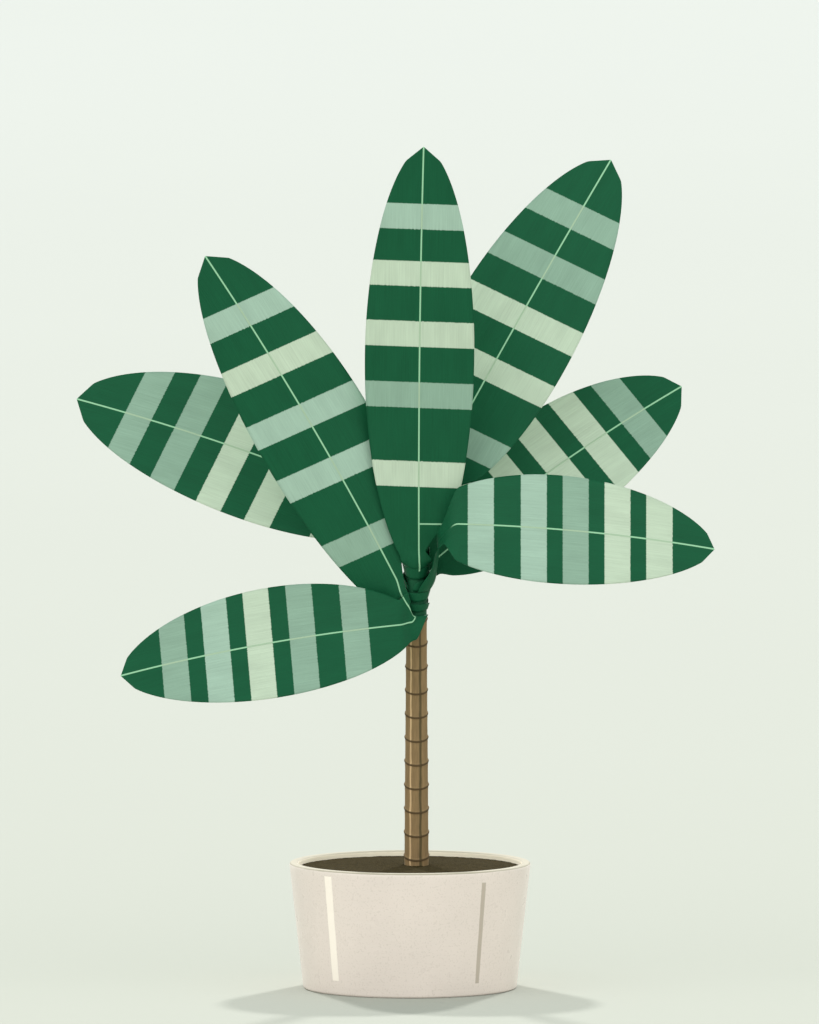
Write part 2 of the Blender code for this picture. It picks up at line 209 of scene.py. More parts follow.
LEAVES = (
    Leaf(
        name="leaf_lower_left",
        heading=-2,
        sheath=(373.7, 5.3),
        wraps=(62, 50),
        base=(10.3, 364.9),
        tip=(-289.3, 312.1),
        back=(-24, -135),
        bow=6.4,
        half_width=55.0,
        swell=0.571,
        taper=0.609,
        lean=0.4,
        face=1,
        shoulders=(0.02, 0.02),
        start=0.07,
        neck=(Neck((1, 365.6, -21), (-0.95, -0.1, -0.3), (-0.18, 0.95, 0.18), (20, 30), 28),),
        bands=(
            Band(52, 78, "dim"),
            Band(105.5, 131.5, "dim"),
            Band(149, 175, "bright"),
            Band(192, 218, "middle"),
            Band(235.5, 262, "dim"),
        ),
        slant=-0.087,
        rib_foot=-24,
        side_vein=((-8.5, 27.0), (-24.5, 0.0)),
    ),
    Leaf(
        name="leaf_upper_left",
        heading=-82,
        sheath=(382.5, 8.5),
        wraps=(168, 62),
        base=(8.9, 364.4),
        tip=(-204.9, 732.0),
        back=(-7, -45),
        bow=6.9,
        half_width=59.0,
        swell=0.586,
        taper=0.573,
        lean=0.1,
        face=-1,
        shoulders=(0.06, 0.39),
        start=0.12,
        neck=(Neck((-8, 392.5, -12.8), (-0.45, 0.88, -0.05), (-0.80, -0.55, 0.20), (6.7, 26), 25),),
        bands=(
            Band(84, 110.5, "dim"),
            Band(162.5, 188.5, "middle"),
            Band(224, 250, "middle"),
            Band(284, 310, "bright"),
            Band(342, 368, "middle"),
        ),
        slant=-0.105,
        rib_foot=-20,
    ),
    Leaf(
        name="leaf_right",
        heading=55,
        sheath=(392.8, 9.6),
        wraps=(168, 50),
        base=(9.9, 464.4),
        tip=(304.6, 438.7),
        back=(-31, -150),
        bow=-6.2,
        half_width=54.1,
        swell=0.527,
        taper=0.617,
        lean=-0.42,
        face=1,
        shoulders=(0.05, 0.05),
        start=0.13,
        neck=(
            Neck((27, 424, -14), (0.15, 0.95, -0.25), (-0.25, -0.20, -0.95), (9, 9), 25),
            Neck((34, 452, -40), (0.55, 0.55, -0.63), (0.05, -0.66, -0.75), (15, 15), 20),
        ),
        bands=(
            Band(48, 74, "middle"),
            Band(101, 127, "middle"),
            Band(143, 169, "dim"),
            Band(185, 211, "bright"),
            Band(227, 253.5, "bright"),
        ),
        slant=0.087,
        rib_foot=-3,
    ),
    Leaf(
        name="leaf_right_back",
        heading=150,
        sheath=(403.0, 12.0),
        wraps=(168, 58),
        base=(16.8, 421.0),
        tip=(271.7, 601.5),
        back=(13, 150),
        bow=-6.8,
        half_width=59.4,
        swell=0.56,
        taper=0.6,
        lean=-0.42,
        face=1,
        shoulders=(0.02, 0.01),
        start=0.05,
        neck=(Neck((21, 417, 14), (0.6, 0.6, 0.5), (0.60, -0.55, -0.60), (10, 12), 30),),
        bands=(
            Band(61, 87, "bright"),
            Band(108, 133, "bright"),
            Band(152, 178.5, "bright"),
            Band(197.5, 224, "bright"),
            Band(242, 269, "dim"),
        ),
        slant=0.07,
        rib_foot=-60,
    ),
    Leaf(
        name="leaf_top",
        heading=12,
        sheath=(415.2, 11.8),
        wraps=(168, 62),
        base=(9.1, 413.2),
        tip=(13.7, 841.4),
        back=(-15, -62),
        bow=-1.9,
        half_width=54.7,
        swell=0.59,
        taper=0.571,
        lean=0.0,
        face=-1,
        shoulders=(0.02, 0.16),
        start=0.06,
        neck=(Neck((9.3, 428, -17.5), (0, 0.97, -0.15), (-1, 0, 0), (12, 19), 18),),
        bands=(
            Band(88, 113.5, "bright"),
            Band(167, 192.5, "dim"),
            Band(228, 253.5, "bright"),
            Band(288.5, 313.5, "bright"),
            Band(345.5, 371, "middle"),
        ),
        slant=-0.026,
        rib_foot=-48,
        side_vein=((50.9, 0.0), (52.5, 60.0)),
    ),
    Leaf(
        name="leaf_left",
        heading=-125,
        sheath=(426.5, 14.0),
        wraps=(168, 50),
        base=(4.9, 470.3),
        tip=(-333.4, 589.0),
        back=(16, 125),
        bow=6.7,
        half_width=65.5,
        swell=0.512,
        taper=0.578,
        lean=0.38,
        face=1,
        shoulders=(0.04, 0.08),
        start=0.07,
        neck=(Neck((-9, 458, 17), (-0.4, 0.88, 0.2), (0.5, 0.5, 0.7), (9, 9), 30),),
        bands=(
            Band(61, 86, "bright"),
            Band(126, 152.5, "bright"),
            Band(177.5, 204.5, "bright"),
            Band(229, 256.5, "dim"),
            Band(281, 308, "dim"),
        ),
        slant=-0.125,
        rib_foot=-60,
    ),
    Leaf(
        name="leaf_upper_right",
        heading=160,
        sheath=(440.5, 14.0),
        wraps=(168, 50),
        base=(13.3, 494.5),
        tip=(201.1, 828.2),
        back=(16, 110),
        bow=-2.0,
        half_width=64.6,
        swell=0.477,
        taper=0.567,
        lean=-0.36,
        face=1,
        shoulders=(0.1, 0.1),
        start=0.09,
        neck=(Neck((15, 485, 17), (0.3, 0.93, 0.15), (0.93, -0.3, -0.2), (10, 10), 30),),
        bands=(
            Band(51.5, 79.5, "dim"),
            Band(128.5, 153.5, "bright"),
            Band(188, 214, "bright"),
            Band(245.5, 272, "dim"),
            Band(302.5, 329, "dim"),
        ),
        slant=0.061,
        rib_foot=-60,
    ),
)


def colour_choice(name, description, default):
    """A colour among the user's settings."""
    return FloatVectorProperty(
        name=name, description=description, default=default, subtype="COLOR", size=3, min=0, max=1
    )


def size_choice(name, description, default):
    """A length among the user's settings."""
    return FloatProperty(name=name, description=description, default=default, unit="LENGTH", precision=4)


class DracaenaPotSettings(PropertyGroup):
    height: size_choice("Height", "From the underside to the rim", pot_top.z)
    rim_radius: size_choice("Rim radius", "Outer radius at the rim", pot_top.x)
    foot_radius: size_choice("Foot radius", "Outer radius at the underside", 0.107)
    wall: size_choice("Wall", "Thickness of the wall", 0.0093)
    floor: size_choice("Floor", "Thickness of the floor", 0.009)
    edge: size_choice("Edge", "Radius of the rounding at the rim and the foot", 0.0026)
    bare_band: size_choice("Bare band", "How far the bare rim comes down the outside", 0.0015)
    glaze: colour_choice("Glaze", "Colour of the glazed wall", (0.768, 0.668, 0.606))
    bare_clay: colour_choice("Bare clay", "Colour of the bare rim", (0.410, 0.366, 0.278))
    # The wall's inside is painted much lighter than the bare rim, to offset the shade that falls inside the
    # pot.
    inside_clay_painted_lighter: colour_choice("Inside clay", "Colour of the wall's inside, painted lighter to offset its shade", (0.975, 0.867, 0.692))
    # The pot's two strokes are painted light: a highlight on the left of the wall and a shade line on the
    # right. The shade's colour also serves the glaze's specks.
    painted_highlight_stroke: colour_choice("Painted highlight stroke", "Colour of the highlight painted as a stroke on the left", (0.975, 0.875, 0.775))
    specks_and_painted_shade_stroke: colour_choice("Specks and painted shade stroke", "Colour of the shade painted as a stroke on the right, and of the specks", (0.500, 0.425, 0.354))


class DracaenaSoilSettings(PropertyGroup):
    below_rim: size_choice("Below the rim", "How far the soil's edge lies under the rim", 0.0052)
    crown: size_choice("Crown", "How far the soil rises towards the cane", 0.0022)
    crumbs: size_choice("Crumbs", "How far the crumbs stand up", 0.0009)
    earth: colour_choice("Earth", "Colour of the soil", (0.0375, 0.0283, 0.0117))


class DracaenaCaneSettings(PropertyGroup):
    scar_height: size_choice("Scar height", "How far a leaf scar stands out", 0.0009)
    bark: colour_choice("Bark", "Colour of the bark", (0.240, 0.156, 0.073))
    # The cane's two streaks are painted light: a highlight on the left and a shade line on the right.
    painted_highlight_streak: colour_choice("Painted highlight streak", "Colour of the long highlight painted on the bark", (0.600, 0.405, 0.220))
    painted_shade_streak: colour_choice("Painted shade streak", "Colour of the long shade line painted on the bark", (0.0833, 0.0625, 0.0275))
    scar: colour_choice("Scar", "Colour of the ring scars", (0.0708, 0.0433, 0.0183))


class DracaenaLeafSettings(PropertyGroup):
    blade: size_choice("Blade", "Thickness of the blade between its midrib and margin", 0.0009)
    midrib: size_choice("Midrib", "Half the midrib's width", 0.00076)
    green: colour_choice("Green", "Colour of the blade between its bands", (0.0071, 0.0850, 0.0358))
    dim: colour_choice("Dim band", "Colour of the darkest cross-bands", (0.246, 0.377, 0.287))
    middle: colour_choice("Middle band", "Colour of the cross-bands between", (0.333, 0.473, 0.377))
    bright: colour_choice("Bright band", "Colour of the palest cross-bands", (0.479, 0.575, 0.442))
    rib: colour_choice("Rib", "Colour of the midrib between the bands", (0.298, 0.560, 0.345))
    band_rib: colour_choice("Rib on bands", "Colour of the midrib on a band", (0.361, 0.490, 0.339))


class DracaenaStageSettings(PropertyGroup):
    tilt: FloatProperty(
        name="Tilt", description="How far the eye looks down", default=radians(5.2), unit="ROTATION"
    )
    eye: size_choice("Eye", "From the camera to the plant", 34.134)
    lens: FloatProperty(name="Lens", description="Focal length", default=1200, unit="CAMERA")
    floor_size: size_choice("Floor", "Side of the floor", 120.0)
    # The floor's two colours paint a gradient of light: darker under the plant, lighter far behind it.
    near_floor: colour_choice("Near floor", "Colour of the floor under the plant", (0.422, 0.430, 0.382))
    far_floor: colour_choice("Far floor", "Colour of the floor far behind the plant", (0.466, 0.476, 0.450))


def settings(part):
    """The user's sizes and colours of a part."""
    return getattr(bpy.context.scene, "dracaena_" + part)


def add_object(name, shape, material):
    """Put a bmesh in the scene as an object of one material."""
    mesh = bpy.data.meshes.new(name)
    shape.to_mesh(mesh)
    shape.free()
    mesh.materials.append(material)
    made = bpy.data.objects.new(name, mesh)
    bpy.context.scene.collection.objects.link(made)
    return made


def add_piece(name, shape, material, node):
    """Make the finished piece of a bmesh, in place of the solid that it stands for."""
    if not shape.faces:
        raise RuntimeError(f"{name} has no faces")
    piece = add_object(name, shape, material)
    piece.data.shade_smooth()
    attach(piece, "root")
    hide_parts(node)
    return piece


def feed(tree, socket, value):
    """Link another socket to this one, or set it to a value."""
    if isinstance(value, bpy.types.NodeSocket):
        tree.links.new(value, socket)
    elif socket.type == "RGBA":
        socket.default_value = (*value, 1)
    else:
        socket.default_value = value


def add_node(tree, kind, **values):
    """A node of a kind, with its settings by name, and its inputs by number as in_0, in_1 and so on."""
    node = tree.nodes.new(kind)
    for name, value in values.items():
        if name.startswith("in_"):
            feed(tree, node.inputs[int(name[3:])], value)
        else:
            setattr(node, name, value)
    return node


def maths(tree, operation, *values):
    """The result of a maths node."""
    inputs = {f"in_{number}": value for number, value in enumerate(values)}
    return add_node(tree, "ShaderNodeMath", operation=operation, **inputs).outputs[0]


def new_group(name, places, numbers, results):
    """An empty shader group from named places and numbers to named results, and the sockets at its ends."""
    group = bpy.data.node_groups.new(name, "ShaderNodeTree")
    for place in places:
        group.interface.new_socket(place, in_out="INPUT", socket_type="NodeSocketVector")
    for number in numbers:
        group.interface.new_socket(number, in_out="INPUT", socket_type="NodeSocketFloat")
    for result in results:
        group.interface.new_socket(result, in_out="OUTPUT", socket_type="NodeSocketFloat")
    return group, group.nodes.new("NodeGroupInput").outputs, group.nodes.new("NodeGroupOutput").inputs


def use_group(tree, name, make, **values):
    """The outputs, in a material, of a shared shader group that is made where it isn't there yet."""
    node = tree.nodes.new("ShaderNodeGroup")
    node.node_tree = bpy.data.node_groups.get(name) or make(name)
    for socket, value in values.items():
        feed(tree, node.inputs[socket.capitalize()], value)
    return node.outputs


def ramp(tree, value, start, end, low=0.0, high=1.0, kind="LINEAR"):
    """A value that goes from low to high while the given one goes from start to end."""
    sockets = {"in_0": value, "in_1": start, "in_2": end, "in_3": low, "in_4": high}
    return add_node(tree, "ShaderNodeMapRange", interpolation_type=kind, **sockets).outputs[0]


def make_band_group(name):
    """A mask that is 1 where a value lies between a start and an end, with feathered ends."""
    group, given, result = new_group(name, (), ("Value", "Start", "End", "Feather"), ("Mask",))
    masks = []
    for edge, low, high in (("Start", 0.0, 1.0), ("End", 1.0, 0.0)):
        before = maths(group, "SUBTRACT", given[edge], given["Feather"])
        after = maths(group, "ADD", given[edge], given["Feather"])
        masks.append(ramp(group, given["Value"], before, after, low, high, kind="SMOOTHSTEP"))
    group.links.new(maths(group, "MULTIPLY", *masks), result["Mask"])
    return group


def make_grain_group(name):
    """A noise stretched along chosen axes, between a low and a high value."""
    group, given, result = new_group(name, ("Place", "Stretch"), ("Scale", "Low", "High"), ("Value",))
    stretched = add_node(
        group, "ShaderNodeVectorMath", operation="MULTIPLY", in_0=given["Place"], in_1=given["Stretch"]
    )
    cloud = group.nodes.new("ShaderNodeTexNoise")
    cloud.inputs["Detail"].default_value = 3
    group.links.new(stretched.outputs[0], cloud.inputs["Vector"])
    group.links.new(given["Scale"], cloud.inputs["Scale"])
    least, most = 0.3, 0.7
    value = ramp(group, cloud.outputs[0], least, most, given["Low"], given["High"])
    group.links.new(value, result["Value"])
    return group


def make_turn_group(name):
    """A point's bearing round an upright axis in degrees, 0 in front, and its place in millimetres."""
    group, given, result = new_group(name, ("Place",), ("Axis",), ("Bearing", "Back", "Height"))
    scaled = add_node(group, "ShaderNodeVectorMath", operation="SCALE", in_0=given["Place"], in_3=1 / MM)
    across, back, height = add_node(group, "ShaderNodeSeparateXYZ", in_0=scaled.outputs[0]).outputs
    across = maths(group, "SUBTRACT", across, given["Axis"])
    front = maths(group, "MULTIPLY", back, -1.0)
    bearing = maths(group, "DEGREES", maths(group, "ARCTAN2", across, front))
    group.links.new(bearing, result["Bearing"])
    group.links.new(back, result["Back"])
    group.links.new(height, result["Height"])
    return group


def band(tree, value, start, end, feather):
    """A mask from the band group."""
    ends = {"start": start, "end": end, "feather": feather}
    return use_group(tree, "Band", make_band_group, value=value, **ends)["Mask"]


def grain(tree, place, scale, stretch=(1, 1, 1), low=0.0, high=1.0):
    """A noise over a place from the grain group."""
    shape = {"stretch": stretch, "scale": scale, "low": low, "high": high}
    return use_group(tree, "Grain", make_grain_group, place=place, **shape)["Value"]


def turned(tree, place, axis=0.0):
    """The outputs of the turn group."""
    return use_group(tree, "Turn", make_turn_group, place=place, axis=axis)


def new_material(name, **values):
    """A material, its tree, and its Principled BSDF with values by name, where _ stands for a space."""
    material = bpy.data.materials.new(name)
    material.use_nodes = True
    tree = material.node_tree
    shader = tree.nodes["Principled BSDF"]
    for socket, value in values.items():
        shader.inputs[socket.replace("_", " ")].default_value = value
    return material, tree, shader


def mixed(tree, mask, colour, over):
    """The colour with another over it where the mask is 1."""
    mix = add_node(tree, "ShaderNodeMix", data_type="RGBA", in_0=mask, in_6=colour, in_7=over)
    return mix.outputs[2]


def shaded(tree, colour, value):
    """The colour made lighter or darker by a value."""
    tone = tree.nodes.new("ShaderNodeHueSaturation")
    tree.links.new(colour, tone.inputs["Color"])
    tree.links.new(value, tone.inputs["Value"])
    return tone.outputs[0]


def raised(tree, shader, height, distance, strength):
    """Let the shader's surface seem raised where the height is greater."""
    bump = tree.nodes.new("ShaderNodeBump")
    bump.inputs["Distance"].default_value = distance
    bump.inputs["Strength"].default_value = strength
    tree.links.new(height, bump.inputs["Height"])
    tree.links.new(bump.outputs[0], shader.inputs["Normal"])


def object_place(tree):
    """Where a point lies on its object, in metres."""
    return tree.nodes.new("ShaderNodeTexCoord").outputs["Object"]


def glaze_material():
    """Cream glaze with a bare rim, and a highlight and a shade painted on as two strokes."""
    pot = settings("pot")
    material, tree, shader = new_material("cream glaze", Specular_IOR_Level=0.35)
    place = object_place(tree)
    turn = turned(tree, place)
    waver = grain(tree, place, scale=60.0, low=-0.12, high=0.12)
    bearing = maths(tree, "ADD", turn["Bearing"], waver)
    height = maths(tree, "ADD", turn["Height"], waver)
    clouds = grain(tree, place, scale=18.0, low=0.975, high=1.025)
    specks = grain(tree, place, scale=520.0, low=-5.6, high=2.0)
    speck_mask = maths(tree, "MINIMUM", maths(tree, "MAXIMUM", specks, 0.0), MOST_SPECK)
    colour = mixed(tree, speck_mask, pot.glaze, pot.specks_and_painted_shade_stroke)
    # Painted light: the highlight stroke on the left and the shade stroke on the right are painted into the
    # glaze's colour.
    for stroke, paint in ((HIGHLIGHT_STROKE, pot.painted_highlight_stroke), (SHADE_STROKE, pot.specks_and_painted_shade_stroke)):
        side = band(tree, bearing, stroke.start, stroke.end, feather=0.12)
        length = band(tree, height, stroke.low, stroke.high, feather=0.3)
        colour = mixed(tree, maths(tree, "MULTIPLY", side, length), colour, paint)
    inside = add_node(tree, "ShaderNodeAttribute", attribute_name="bare").outputs["Fac"]
    bare_top = (pot.height - pot.bare_band) / MM
    top = band(tree, height, bare_top, BEYOND, feather=0.25)
    bare = maths(tree, "MAXIMUM", inside, top)
    colour = mixed(tree, bare, colour, pot.bare_clay)
    under_rim = pot.height / MM - 1
    wall = band(tree, turn["Height"], 0.0, under_rim, feather=0.8)
    # Painted light: the inside of the wall is coloured lighter to offset the shade inside the pot.
    colour = mixed(tree, maths(tree, "MULTIPLY", wall, inside), colour, pot.inside_clay_painted_lighter)
    tree.links.new(shaded(tree, colour, clouds), shader.inputs["Base Color"])
    rough = maths(tree, "MULTIPLY_ADD", bare, BARE_ROUGHNESS - GLAZE_ROUGHNESS, GLAZE_ROUGHNESS)
    rough = maths(tree, "MULTIPLY_ADD", waver, ROUGHNESS_WAVER, rough)
    tree.links.new(rough, shader.inputs["Roughness"])
    throwing = grain(tree, place, stretch=(0.05, 0.05, 1), scale=220.0)
    pits = grain(tree, place, scale=900.0, low=0.0, high=0.25)
    raised(tree, shader, maths(tree, "ADD", throwing, pits), distance=0.00012, strength=0.6)
    return material


def soil_material():
    """Dark crumbly earth."""
    soil = settings("soil")
    material, tree, shader = new_material("potting earth", Roughness=0.95, Specular_IOR_Level=0.02)
    place = object_place(tree)
    coarse = grain(tree, place, scale=260.0, low=0.82, high=1.18)
    fine = grain(tree, place, scale=1100.0, low=0.75, high=1.25)
    tone = maths(tree, "MULTIPLY", coarse, fine)
    dry_earth = [part * DRY_LIFT for part in soil.earth]
    base = mixed(tree, maths(tree, "SUBTRACT", tone, 0.5), soil.earth, dry_earth)
    tree.links.new(shaded(tree, base, tone), shader.inputs["Base Color"])
    raised(tree, shader, maths(tree, "ADD", coarse, fine), distance=0.0008, strength=0.9)
    return material


def bark_material():
    """Brown bark with upright fibres, dark ring scars, a long painted highlight and a long painted shade
    line, and green where the leaves clasp it.
    """
    cane, leaf = settings("cane"), settings("leaf")
    material, tree, shader = new_material("cane bark", Roughness=0.75, Specular_IOR_Level=0.2)
    place = object_place(tree)
    turn = turned(tree, place, CANE_AXIS)
    fibre = grain(tree, place, stretch=(1, 1, 0.05), scale=1300.0, low=0.86, high=1.14)
    patch = grain(tree, place, stretch=(1, 1, 0.4), scale=90.0, low=0.93, high=1.07)
    tone = maths(tree, "MULTIPLY", fibre, patch)
    waver = grain(tree, place, stretch=(1, 1, 0.5), scale=120.0, low=-2.0, high=2.0)
    bearing = maths(tree, "ADD", turn["Bearing"], waver)
    colour = cane.bark
    # Painted light: a long highlight on the left and a long shade line on the right, painted into the bark's
    # colour.
    for streak, paint in ((HIGHLIGHT_STREAK, cane.painted_highlight_streak), (SHADE_STREAK, cane.painted_shade_streak)):
        mask = band(tree, bearing, streak.start, streak.end, streak.feather)
        colour = mixed(tree, maths(tree, "MULTIPLY", mask, streak.share), colour, paint)
    colour = shaded(tree, colour, tone)
    sloped = maths(tree, "MULTIPLY_ADD", turn["Back"], -SCAR_SLOPE, turn["Height"])
    ring = maths(tree, "DIVIDE", maths(tree, "SUBTRACT", sloped, SCAR_FIRST), SCAR_PITCH)
    near = maths(tree, "MULTIPLY", maths(tree, "PINGPONG", ring, 0.5), SCAR_PITCH)
    scar = band(tree, near, -SCAR_HALF_LINE, SCAR_HALF_LINE, feather=0.35)
    colour = mixed(tree, maths(tree, "MULTIPLY", scar, SCAR_INK), colour, cane.scar)
    fresh = band(tree, sloped, CROWN_FOOT, BEYOND, feather=1.5)
    colour = mixed(tree, fresh, colour, leaf.green)
    tree.links.new(colour, shader.inputs["Base Color"])
    raised(tree, shader, tone, distance=0.0005, strength=0.8)
    return material


def side_vein_mask(tree, along, out, ends, width):
    """A mask that is 1 on a straight line between two places on a leaf, for half the line's width."""
    start, end = Vector(ends[0]), Vector(ends[1])
    way = (end - start).normalized()
    side = Vector((-way.y, way.x))
    reaches = []
    for axis in (way, side):
        across = maths(tree, "MULTIPLY_ADD", out, axis.y, -start.dot(axis))
        reaches.append(maths(tree, "MULTIPLY_ADD", along, axis.x, across))
    run = band(tree, reaches[0], 0.0, (end - start).length, feather=0.3)
    line = band(tree, reaches[1], -width, width, feather=0.2)
    return maths(tree, "MULTIPLY", run, line)


def leaf_material(leaf):
    """Waxy green with fine veins along the blade, pale straight cross-bands and a pale midrib."""
    look = settings("leaf")
    material, tree, shader = new_material(leaf.name + " wax", Specular_IOR_Level=0.08)
    place = add_node(tree, "ShaderNodeAttribute", attribute_name="leaf_place").outputs["Vector"]
    along, out = add_node(tree, "ShaderNodeSeparateXYZ", in_0=place).outputs[:2]
    vein = grain(tree, place, stretch=(0.02, 1, 0), scale=1.1)
    veins = maths(tree, "MULTIPLY_ADD", vein, VEIN_TONE, 1 - VEIN_TONE / 2)
    blotches = grain(tree, place, stretch=(0.3, 1, 0), scale=0.06, low=0.94, high=1.06)
    ragged = maths(tree, "SUBTRACT", maths(tree, "MULTIPLY_ADD", vein, RAGGED, along), RAGGED / 2)
    colour, rib_colour = look.green, look.rib
    for strip in leaf.bands:
        mask = band(tree, ragged, strip.start, strip.end, feather=0.35)
        colour = mixed(tree, mask, colour, getattr(look, strip.tone))
        rib_colour = mixed(tree, mask, rib_colour, look.band_rib)
    colour = shaded(tree, colour, maths(tree, "MULTIPLY", veins, blotches))
    width = look.midrib / MM
    rib = band(tree, out, -width, width, feather=0.2)
    shown = band(tree, along, leaf.rib_foot, BEYOND, feather=2.0)
    rib = maths(tree, "MULTIPLY", rib, shown)
    if leaf.side_vein:
        rib = maths(tree, "MAXIMUM", rib, side_vein_mask(tree, along, out, leaf.side_vein, width))
    colour = mixed(tree, rib, colour, rib_colour)
    tree.links.new(colour, shader.inputs["Base Color"])
    rough = maths(tree, "MULTIPLY_ADD", vein, VEIN_ROUGHNESS, WAX_ROUGHNESS)
    tree.links.new(rough, shader.inputs["Roughness"])
    raised(tree, shader, maths(tree, "ADD", vein, rib), distance=0.00025, strength=0.5)
    return material


def floor_material():
    """Pale matt floor, painted a little lighter far behind the plant as a gradient of light."""
    stage = settings("stage")
    material, tree, shader = new_material("studio floor", Roughness=0.9, Specular_IOR_Level=0.0)
    place = object_place(tree)
    # Painted light: the floor's colour fades from the near to the far colour, lighter further back.
    fade = ramp(tree, turned(tree, place)["Back"], *FLOOR_LIGHT_FADE)
    base = mixed(tree, fade, stage.near_floor, stage.far_floor)
    tone = grain(tree, place, scale=0.6, low=0.995, high=1.005)
    tree.links.new(shaded(tree, base, tone), shader.inputs["Base Color"])
    return material


def outward(turn):
    """The level way out from an upright axis, at an angle from the front in radians."""
    return Vector((sin(turn), -cos(turn), 0))


def lathe(profile, sides):
    """A closed body turned round Z from points of radius, height and bareness, from the axis to the axis."""
    shape = bmesh.new()
    bare = shape.verts.layers.float.new("bare")
    rings = []
    for radius, height, share in profile:
        count = sides if radius > 0 else 1
        ring = []
        for number in range(count):
            turn = 2 * pi * number / count
            vert = shape.verts.new((radius * sin(turn), -radius * cos(turn), height))
            vert[bare] = share
            ring.append(vert)
        rings.append(ring)
    join_rings(shape, rings)
    return shape


def join_rings(shape, rings):
    """Faces that look outwards, between closed rings of points, where a ring may be one point."""
    for near, far in zip(rings, rings[1:]):
        count = max(len(near), len(far))
        for number in range(count):
            after = (number + 1) % count
            corners = []
            for ring, step in ((near, number), (near, after), (far, after), (far, number)):
                vert = ring[step % len(ring)]
                if vert not in corners:
                    corners.append(vert)
            shape.faces.new(corners)
    bmesh.ops.recalc_face_normals(shape, faces=shape.faces)


def arc(middle_radius, middle_height, size, first, last, steps, bare):
    """Points round a rounding's middle, from one angle in degrees to another, 0 outwards and 90 up."""
    points = []
    for step in range(steps + 1):
        turn = radians(first + (last - first) * step / steps)
        points.append((middle_radius + size * cos(turn), middle_height + size * sin(turn), bare))
    return points


def pot_inner_radius(height):
    """The radius of the pot's inside at a height, both in metres."""
    pot = settings("pot")
    return pot.foot_radius - pot.wall + (pot.rim_radius - pot.foot_radius) * height / pot.height


def pot_shape():
    """The pot's wall, floor and rounded rim."""
    pot = settings("pot")
    round_foot = pot.foot_radius - pot.edge
    round_rim = pot.rim_radius - pot.edge
    inner = pot.rim_radius - pot.wall + pot.edge
    low, high = pot.edge, pot.height - pot.edge
    fillet = INNER_FILLET * MM
    profile = [(0, 0, 0), (round_foot * UNDERSIDE_SHARE, 0, 0), (round_foot - MM, 0, 0)]
    profile += arc(round_foot, low, pot.edge, -90, 0, FOOT_STEPS, 0)
    for step in range(1, WALL_STEPS):
        share = step / WALL_STEPS
        radius = pot.foot_radius + (pot.rim_radius - pot.foot_radius) * share
        profile.append((radius, low + (high - low) * share, 0))
    profile += arc(round_rim, high, pot.edge, 0, 90, RIM_STEPS, 0)
    profile += arc(inner, high, pot.edge, 90, 180, RIM_STEPS, 1)
    for height in [pot.height * share for share in INNER_ROWS] + [pot.floor + fillet]:
        profile.append((pot_inner_radius(height), height, 1))
    foot = pot_inner_radius(pot.floor)
    profile.append((foot - fillet / 3, pot.floor + fillet / 6, 1))
    profile += [(foot - fillet, pot.floor, 1), (0, pot.floor, 1)]
    return lathe(profile, POT_SIDES)


def soil_height(spot):
    """The height of the crumbly surface at a point, in metres."""
    pot, soil = settings("pot"), settings("soil")
    edge = pot.height - soil.below_rim
    reach = min(1, spot.length / pot_inner_radius(edge))
    crown = soil.crown * (0.5 + 0.5 * cos(pi * reach))
    rough = sum(crumb.share * noise.noise(spot * crumb.per_metre + Vector(crumb.offset)) for crumb in CRUMBS)
    fade = min(1, (1 - reach) / EDGE_FADE)
    return edge + crown + soil.crumbs * rough * (EDGE_CRUMBS + (1 - EDGE_CRUMBS) * fade)


def soil_shape():
    """The soil, from a crumbly top down to the pot's floor, with a round hole for the cane."""
    pot, soil = settings("pot"), settings("soil")
    foot = pot.floor + SOIL_SEAT * MM
    edge_height = pot.height - soil.below_rim
    edge = pot_inner_radius(edge_height) - SOIL_GAP * MM
    hole = CANE_HOLE * MM
    axis, middle = Vector((CANE_AXIS * MM, 0, 0)), Vector()
    shape = bmesh.new()

    def ring(centre, radius, height=None):
        made = []
        for number in range(SOIL_SIDES):
            turn = 2 * pi * number / SOIL_SIDES
            spot = centre + outward(turn) * radius
            made.append(shape.verts.new((spot.x, spot.y, soil_height(spot) if height is None else height)))
        return made

    hole_floor = cane_low.z - SOIL_SEAT * MM
    rings = [[shape.verts.new((axis.x, 0, hole_floor))], ring(axis, hole, hole_floor)]
    for row in range(SOIL_ROWS + 1):
        share = row / SOIL_ROWS
        rings.append(ring(axis * (1 - share), hole + (edge - hole) * share))
    rings.append(ring(middle, edge - 0.1 * MM, edge_height - SOIL_SKIRT * MM))
    rings.append(ring(middle, pot_inner_radius(foot) - SOIL_GAP * 4 * MM, foot + MM))
    rings.append([shape.verts.new((0, 0, foot))])
    join_rings(shape, rings)
    return shape


def cane_radius(height):
    """The bare cane's radius at a height, all in millimetres."""
    return CANE_FOOT_RADIUS - CANE_THINS * (height - CANE_FOOT)


def scar_swell(off):
    """How far a scar stands out, as a share, at a height above its middle: a thin ring on a low cushion."""
    ring = exp(-((off / SCAR_WIDTH) ** 2))
    return ring + CUSHION_SHARE * exp(-(((off + CUSHION_DROP) / CUSHION_WIDTH) ** 2))


